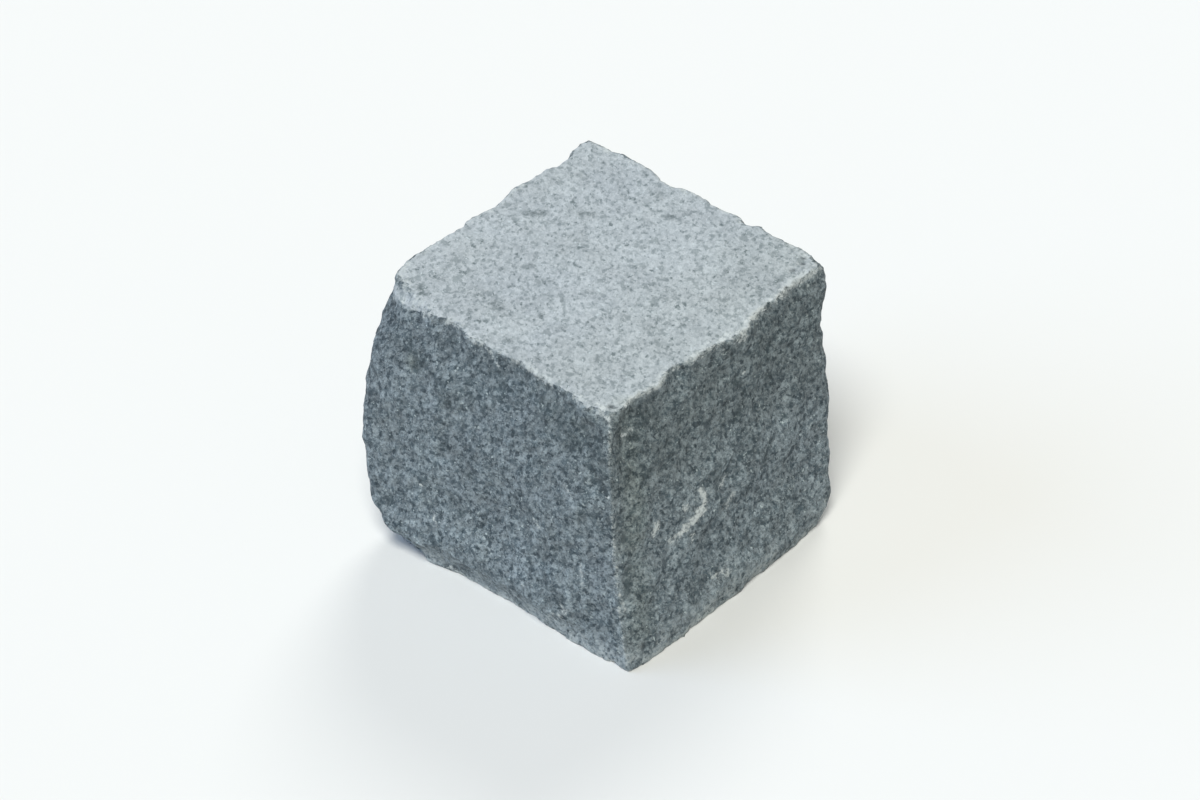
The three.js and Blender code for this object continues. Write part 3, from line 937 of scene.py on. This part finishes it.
@dataclass(frozen=True)
class Andesite:
    """The finish of the whole stone. Lengths are in mm."""

    sawn: StoneFace = SAWN
    split: StoneFace = SPLIT
    bruise: Colour = (0.57, 0.61, 0.60)
    dust: Colour = (0.45, 0.495, 0.50)
    stain: Colour = (0.065, 0.09, 0.095)
    hollow: Colour = (0.048, 0.062, 0.07)
    rust_tint: Colour = (0.97, 0.95, 0.80)

    # Broad tones, with painted light low on the split sides and painted shade in the hollows of their relief.
    ragged: Waves = Waves(1.6, 2.0, 4.0)
    ragged_reach: float = 1.2
    sawn_edge: Slope = Slope(0.35, 0.65)
    broad: Waves = Waves(22.0, 2.0, 5.0)
    broad_level: Slope = Slope(0.3, 0.7)
    broad_tints: tuple[Colour, Colour] = ((0.985, 0.99, 0.997), (1.012, 1.012, 1.0))
    clouds: Waves = Waves(8.0, 3.0, 15.0)
    cloud_shade: Slope = Slope(0.3, 0.7, 0.9, 1.1)
    sawn_calm: float = 0.4
    # Painted light from the floor: the split sides are painted lighter low down and darker high up.
    height_shade: Slope = Slope(10.0, 90.0, 1.12, 0.89)
    # Painted shade in the hollows of the relief, and painted light on its high points.
    proud_shade: Slope = Slope(-0.6, 0.65, 0.82, 1.17)

    # Marks, crushed rims, and dust near the foot that is also painted light, lifting the shade where the
    # stone meets the floor. A pair is a share at the start and at the end of a blend.
    patches: Waves = Waves(1.5, 3.0, 2.0, 0.7)
    patch_level: Slope = Slope(0.3, 0.65)
    stain_share: float = 0.75
    pit_shares: tuple[float, float] = (0.55, 1.15)
    pit_edge: Slope = Slope(0.12, 0.75)
    rim_patches: Waves = Waves(7.0, 2.0, 21.0)
    rim_level: Slope = Slope(0.36, 0.6, 0.35, 0.9)
    rim_share: float = 0.68
    rim_seed: float = 1.0
    bruise_seed: float = 6.0
    dust_height: Slope = Slope(1.0, 14.0, 1.0, 0.0)
    powder: Waves = Waves(1.5, 4.0, 9.0, 0.8)
    powder_level: Slope = Slope(0.4, 0.6)
    dust_clouds: Slope = Slope(0.93, 1.04)
    dust_shares: tuple[float, float] = (0.8, 0.3)

    # Surface and mottling.
    bruise_roughness: float = 0.06
    tooth_strength: float = 0.6
    gloss: float = 0.35
    crowding: float = 0.09
    mottle_layers: float = 4.0
    mottle_rough: float = 0.88
    mottle_level: Slope = Slope(0.38, 0.62)

    def material(self) -> bpy.types.Material:
        """Builds the material.

        Returns:
            A material that reads Object coordinates and what the skin carries.
        """
        made = bpy.data.materials.new("andesite_stone")
        made.use_nodes = True
        made.node_tree.nodes.clear()
        bench = Bench(made.node_tree)
        place = bench.vector("SCALE", bench.add("ShaderNodeTexCoord").outputs["Object"], 1 / MM)
        sawn, rim, proud, bruise, pit, stain, rust = (
            bench.add("ShaderNodeAttribute", {"attribute_name": carrier.value}).outputs["Fac"]
            for carrier in Carrier
        )
        flowing = self.drawn(bench, self.split, place)
        tooth = bench.group(tooth_group(), Place=flowing, Sawn=sawn)
        crystals = crystal_group()
        tones = [self.face_colour(bench, crystals, face, place, stain) for face in (self.split, self.sawn)]
        ragged = bench.times(bench.minus(bench.noise(place, *self.ragged), 0.5), self.ragged_reach)
        colour = bench.mix(bench.ramp(bench.plus(sawn, ragged), *self.sawn_edge), *tones)
        broad = bench.ramp(bench.noise(place, *self.broad), *self.broad_level)
        colour = bench.mix(1.0, colour, bench.mix(broad, *self.broad_tints), "MULTIPLY")
        cloudy = bench.ramp(bench.noise(place, *self.clouds), *self.cloud_shade)
        up = bench.part(place, "Z")
        # Shades laid one after another: random clouds, painted light from the floor low on the split sides,
        # then painted shade in the hollows and painted light on the high points of the relief and of the
        # tooth.
        for share in (
            bench.blend(bench.times(sawn, self.sawn_calm), cloudy, 1.0),
            bench.blend(sawn, bench.ramp(up, *self.height_shade), 1.0),
            bench.ramp(proud, *self.proud_shade),
            tooth["Shade"],
        ):
            colour = bench.shade(colour, share)
        colour = bench.mix(rust, colour, bench.mix(1.0, colour, self.rust_tint, "MULTIPLY"))
        patchy = bench.ramp(bench.noise(flowing, *self.patches), *self.patch_level)
        spoilt = bench.mix(bench.times(stain, patchy, self.stain_share), colour, self.stain)
        hole = bench.ramp(bench.times(pit, bench.blend(patchy, *self.pit_shares)), *self.pit_edge)
        colour = bench.mix(hole, spoilt, self.hollow)
        broken = bench.ramp(bench.noise(place, *self.rim_patches), *self.rim_level)
        crushed = crushed_group()
        edge = bench.group(crushed, Place=place, Where=bench.times(rim, broken), Seed=self.rim_seed)
        blow = bench.group(crushed, Place=place, Where=bruise, Seed=self.bruise_seed)
        bruised = bench.math("MAXIMUM", bench.times(edge["Mask"], self.rim_share), blow["Mask"])
        colour = bench.mix(bruised, colour, self.bruise)
        # Dust near the foot, mixed with painted light that lifts the shade where the stone meets the floor.
        powder = bench.ramp(bench.noise(place, *self.powder), *self.powder_level)
        powder = bench.times(powder, bench.ramp(cloudy, *self.dust_clouds), bench.ramp(up, *self.dust_height))
        colour = bench.mix(bench.times(powder, bench.blend(sawn, *self.dust_shares)), colour, self.dust)
        rough = bench.blend(sawn, self.split.roughness, self.sawn.roughness)
        rough = bench.plus(rough, bench.times(bruised, self.bruise_roughness))
        bump = bench.add("ShaderNodeBump", Height=tooth["Height"], Distance=MM, Strength=self.tooth_strength)
        looks = {"Base_Color": colour, "Roughness": rough, "Normal": bump.outputs[0]}
        shader = bench.add("ShaderNodeBsdfPrincipled", **looks)
        shader.inputs["Specular IOR Level"].default_value = self.gloss
        bench.add("ShaderNodeOutputMaterial", Surface=shader.outputs[0])
        log.info("andesite finish: %d nodes", len(made.node_tree.nodes))
        return made

    @staticmethod
    def drawn(bench: Bench, face: StoneFace, place: Socket) -> Socket:
        """Draws places together along the ways in which a face's grain flows, so that patterns stretch there.

        Args:
            bench: The material's tree.
            face: The kind of face.
            place: Points in mm.

        Returns:
            The drawn places.
        """
        result = place
        for way in face.flow:
            along = bench.times(bench.vector("DOT_PRODUCT", place, way), -face.flow_share)
            result = bench.moved(result, way, along)
        return result

    def face_colour(
        self, bench: Bench, crystals: Tree, face: StoneFace, place: Socket, stained: Socket
    ) -> Socket:
        """Colours one kind of face with its mottling and its crystals.

        Args:
            bench: The material's tree.
            crystals: The group that scatters crystals.
            face: The kind of face.
            place: Points in mm.
            stained: How strongly a dark clump covers each point. The crystals crowd together there.

        Returns:
            The face's colour.
        """
        place = self.drawn(bench, face, place)
        grown = bench.group(
            crystals,
            Place=place,
            Seed=face.seed,
            Crystal=face.crystal,
            Dark_level=bench.plus(bench.times(stained, self.crowding), face.dark_level),
            Pale_level=face.pale_level,
            Bend=face.bend,
            Round=face.round_share,
        )
        mottle = bench.noise(place, face.mottle, self.mottle_layers, face.seed + 1, self.mottle_rough)
        depth = face.mottle_depth
        deep = tuple(part * share * (1 - depth) for part, share in zip(face.base, face.deep_tint))
        light = tuple(part * share * (1 + depth) for part, share in zip(face.base, face.light_tint))
        tone = bench.mix(bench.ramp(mottle, *self.mottle_level), deep, light)
        dark = bench.times(grown["Dark"], face.dark_strength)
        return bench.mix(grown["Pale"], bench.mix(dark, tone, face.dark), face.pale)


# Dark specks, larger blots, round crystals and pale flecks. A SOFT pair is the edge above and below a level.
SPECK_SOFT = (0.04, 0.05)
SPECK_LAYERS, SPECK_ROUGH = 2.0, 0.55
BLOT_SOFT = (0.02, 0.06)
BLOT_SIZE, BLOT_LAYERS, BLOT_ROUGH = 2.1, 3.0, 0.5
BLOT_SHARES = (0.65, 0.6)
CRYSTAL_BEND_SCALE, CRYSTAL_BEND_LAYERS = 0.6, 2.0
ROUND_SIZE = Slope(0.1, 1.0, 0.15)
ROUND_MOST = 1.65
ROUND_BREAK = 0.9
ROUND_SOFT = 0.2
ROUND_TINT = Slope(0.0, 1.0, 0.35, 1.3)
FLECK_SIZE, FLECK_LAYERS, FLECK_SEED_STEP, FLECK_SOFT = 0.75, 2.0, 9.0, 0.08


def crystal_group() -> Tree:
    """Builds the group that scatters dark and pale crystals.

    Returns:
        A shader group. Place in mm, Seed, Crystal size, the two levels, Bend and Round go in: how far the
        crystals are bent, and the share of the dark ones that are round. Dark and Pale masks come out.
    """
    bench = Bench(bpy.data.node_groups.new("stone_crystals", "ShaderNodeTree"))
    bench.sockets("INPUT", Place="Vector", Seed=0.0, Crystal=1.0, Dark_level=0.4, Pale_level=0.6)
    bench.sockets("INPUT", Bend=1.0, Round=0.0)
    bench.sockets("OUTPUT", Dark="Float", Pale="Float")
    given = bench.add("NodeGroupInput").outputs
    seed, size, level, pale = (given[name] for name in ("Seed", "Crystal", "Dark level", "Pale level"))
    bent = bench.bent(given["Place"], seed, CRYSTAL_BEND_SCALE, given["Bend"], CRYSTAL_BEND_LAYERS)
    small = bench.noise(bent, size, SPECK_LAYERS, seed, SPECK_ROUGH)
    large = bench.noise(bent, bench.times(size, BLOT_SIZE), BLOT_LAYERS, seed, BLOT_ROUGH)
    specks = bench.ramp(small, bench.plus(level, SPECK_SOFT[0]), bench.minus(level, SPECK_SOFT[1]))
    blots = bench.ramp(large, bench.plus(level, BLOT_SOFT[0]), bench.minus(level, BLOT_SOFT[1]))
    cell = bench.cells(bent, size, seed)
    radius = bench.ramp(bench.part(cell["Color"], "X"), *ROUND_SIZE[:3], bench.times(level, ROUND_MOST))
    reach = bench.plus(cell["Distance"], bench.times(bench.minus(small, 0.5), ROUND_BREAK))
    rounded = bench.ramp(reach, radius, bench.minus(radius, ROUND_SOFT))
    rounded = bench.times(rounded, bench.ramp(bench.part(cell["Color"], "Y"), *ROUND_TINT))
    specks = bench.blend(given["Round"], specks, rounded)
    dark = bench.math("MAXIMUM", specks, bench.times(blots, bench.blend(given["Round"], *BLOT_SHARES)))
    fleck = bench.noise(bent, bench.times(size, FLECK_SIZE), FLECK_LAYERS, bench.plus(seed, FLECK_SEED_STEP))
    bright = bench.ramp(fleck, pale, bench.plus(pale, FLECK_SOFT))
    bench.add("NodeGroupOutput", Dark=dark, Pale=bright)
    return bench.tree


CRUSH_SIZE, CRUSH_LAYERS, CRUSH_ROUGH = 1.5, 4.0, 0.75
CRUSH_REACH = 3.6
CRUSH_LEVEL = Slope(0.3, 1.1)
CRUSH_FADE = Slope(0.0, 0.35)


def crushed_group() -> Tree:
    """Builds the group for stone that is crushed white by a blow.

    Returns:
        A shader group. Place in mm, Where from 0 to 1 and Seed go in. A Mask of broken grains comes out.
    """
    bench = Bench(bpy.data.node_groups.new("crushed_stone", "ShaderNodeTree"))
    bench.sockets("INPUT", Place="Vector", Where=0.0, Seed=0.0)
    bench.sockets("OUTPUT", Mask="Float")
    given = bench.add("NodeGroupInput").outputs
    grain = bench.noise(given["Place"], CRUSH_SIZE, CRUSH_LAYERS, given["Seed"], CRUSH_ROUGH)
    level = bench.plus(given["Where"], bench.times(bench.minus(grain, 0.5), CRUSH_REACH))
    mask = bench.times(bench.ramp(level, *CRUSH_LEVEL), bench.ramp(given["Where"], *CRUSH_FADE))
    bench.add("NodeGroupOutput", Mask=mask)
    return bench.tree


TOOTH_COARSE, TOOTH_COARSE_DEPTH = Waves(2.3, 3.0, 2.0, 0.6), 0.4
TOOTH_FINE, TOOTH_FINE_DEPTH = Waves(0.85, 2.0, 12.0, 0.6), 0.34
TOOTH_PAINTED_SHADE = Slope(0.27, 0.47, 0.76, 1.22)
SAW_TOOTH, SAW_TOOTH_DEPTH = Waves(0.8, 2.0, 7.0), 0.06
SAW_PORES, SAW_PORE_DEPTH = Waves(1.5, 2.0, 3.0), Slope(0.26, 0.4, -0.12, 0.0)


def tooth_group() -> Tree:
    """Builds the group for the tooth of the surface: what a fingertip feels.

    Returns:
        A shader group. Place in mm and Sawn go in. Height in mm and Shade come out: Shade is painted shade in
        the hollows of the tooth and painted light on its peaks.
    """
    bench = Bench(bpy.data.node_groups.new("stone_tooth", "ShaderNodeTree"))
    bench.sockets("INPUT", Place="Vector", Sawn=0.0)
    bench.sockets("OUTPUT", Height="Float", Shade="Float")
    given = bench.add("NodeGroupInput").outputs
    coarse, fine, smooth, pores = (
        bench.noise(given["Place"], *waves) for waves in (TOOTH_COARSE, TOOTH_FINE, SAW_TOOTH, SAW_PORES)
    )
    split = bench.plus(bench.times(coarse, TOOTH_COARSE_DEPTH), bench.times(fine, TOOTH_FINE_DEPTH))
    sawn = bench.plus(bench.times(smooth, SAW_TOOTH_DEPTH), bench.ramp(pores, *SAW_PORE_DEPTH))
    height = bench.blend(given["Sawn"], split, sawn)
    # Painted shade in the hollows of the split sides' tooth, and painted light on its peaks.
    shade = bench.blend(given["Sawn"], bench.ramp(split, *TOOTH_PAINTED_SHADE), 1.0)
    bench.add("NodeGroupOutput", Height=height, Shade=shade)
    return bench.tree


# ------------------------------------------------------------
# The studio


@dataclass(frozen=True)
class Lamp:
    """A soft far light, from a bearing round the stone and a height above the floor, in degrees."""

    name: str
    bearing: float
    rise: float
    spread: float
    power: float
    colour: Colour

    def build(self) -> bpy.types.Object:
        """Makes the lamp and returns its object."""
        data = bpy.data.lights.new(self.name, "SUN")
        data.angle = math.radians(self.spread)
        data.energy = self.power
        data.color = self.colour
        lamp = put(self.name, data)
        around, up = math.radians(self.bearing), math.radians(self.rise)
        level = math.cos(up)
        source = Vector((math.sin(around) * level, -math.cos(around) * level, math.sin(up)))
        lamp.matrix_world = source.to_track_quat("Z", "Y").to_matrix().to_4x4()
        log.info("%s: bearing %g, rise %g", self.name, self.bearing, self.rise)
        return lamp


@dataclass(frozen=True)
class Viewpoint:
    """The camera. Lengths are in mm, angles in degrees."""

    eye: Point = (1177.11, -1274.04, 1451.58)
    aim: Point = (0.0, 0.0, 50.0)
    roll: float = -1.805
    lens: float = 218.7
    film: float = 36.0
    nearest: float = 50.0

    def build(self) -> bpy.types.Object:
        """Makes the camera, sets it as the scene's and returns it."""
        data = bpy.data.cameras.new("studio_camera")
        data.lens = self.lens
        data.sensor_width = self.film
        data.clip_start = self.nearest * MM
        camera = put("studio_camera", data)
        eye, aim = Vector(self.eye) * MM, Vector(self.aim) * MM
        turn = (eye - aim).to_track_quat("Z", "Y").to_matrix().to_4x4()
        roll = Matrix.Rotation(math.radians(self.roll), 4, "Z")
        camera.matrix_world = Matrix.Translation(eye) @ turn @ roll
        bpy.context.scene.camera = camera
        return camera


@dataclass
class Studio:
    """A plain pale floor under soft light. The radius of the floor is in metres."""

    floor_radius: float = 30.0
    floor_sides: int = 96
    floor_colour: Colour = (0.80, 0.80, 0.78)
    sky: Colour = (0.93, 0.97, 1.0)
    sky_strength: float = 0.22
    seen_strength: float = 1.05
    lamps: tuple[Lamp, ...] = (
        Lamp("key_light", 34.0, 60.0, 20.0, 2.4, (1.0, 1.0, 0.95)),
        Lamp("cool_light", -42.0, 35.0, 40.0, 0.93, (0.47, 0.65, 1.0)),
        Lamp("back_light", 205.0, 45.0, 25.0, 1.0, (1.0, 1.0, 0.97)),
    )
    viewpoint: Viewpoint = field(default_factory=Viewpoint)

    def build(self) -> None:
        """Makes the floor, the sky, the lamps and the camera."""
        self.build_floor()
        self.build_sky()
        for lamp in self.lamps:
            lamp.build()
        self.viewpoint.build()
        scene = bpy.context.scene
        scene.view_settings.view_transform = "Standard"
        scene.view_settings.look = "None"

    def build_floor(self) -> None:
        """Makes the round floor and its plain finish."""
        form = bmesh.new()
        bmesh.ops.create_circle(form, cap_ends=True, radius=self.floor_radius, segments=self.floor_sides)
        mesh = bpy.data.meshes.new("studio_floor")
        form.to_mesh(mesh)
        form.free()
        finish = bpy.data.materials.new("floor_paper")
        finish.use_nodes = True
        shader = finish.node_tree.nodes["Principled BSDF"]
        shader.inputs["Base Color"].default_value = (*self.floor_colour, 1.0)
        shader.inputs["Roughness"].default_value = 1.0
        shader.inputs["Specular IOR Level"].default_value = 0.0
        mesh.materials.append(finish)
        floor = put("studio_floor", mesh)

    def build_sky(self) -> None:
        """Sets an even pale sky: white where it is seen, and softer where it lights the stone."""
        world = bpy.data.worlds.new("studio_sky")
        bpy.context.scene.world = world
        world.use_nodes = True
        world.node_tree.nodes.clear()
        bench = Bench(world.node_tree)
        seen = bench.add("ShaderNodeLightPath").outputs["Is Camera Ray"]
        strength = bench.blend(seen, self.sky_strength, self.seen_strength)
        glow = bench.add("ShaderNodeBackground", Color=(*self.sky, 1.0), Strength=strength)
        bench.add("ShaderNodeOutputWorld", Surface=glow.outputs[0])


def main() -> None:
    """Builds the studio and the stone."""
    logging.basicConfig(level=logging.INFO, format="%(name)s: %(message)s")
    Studio().build()
    Sett().build(Andesite().material())


if __name__ == "__main__":
    main()
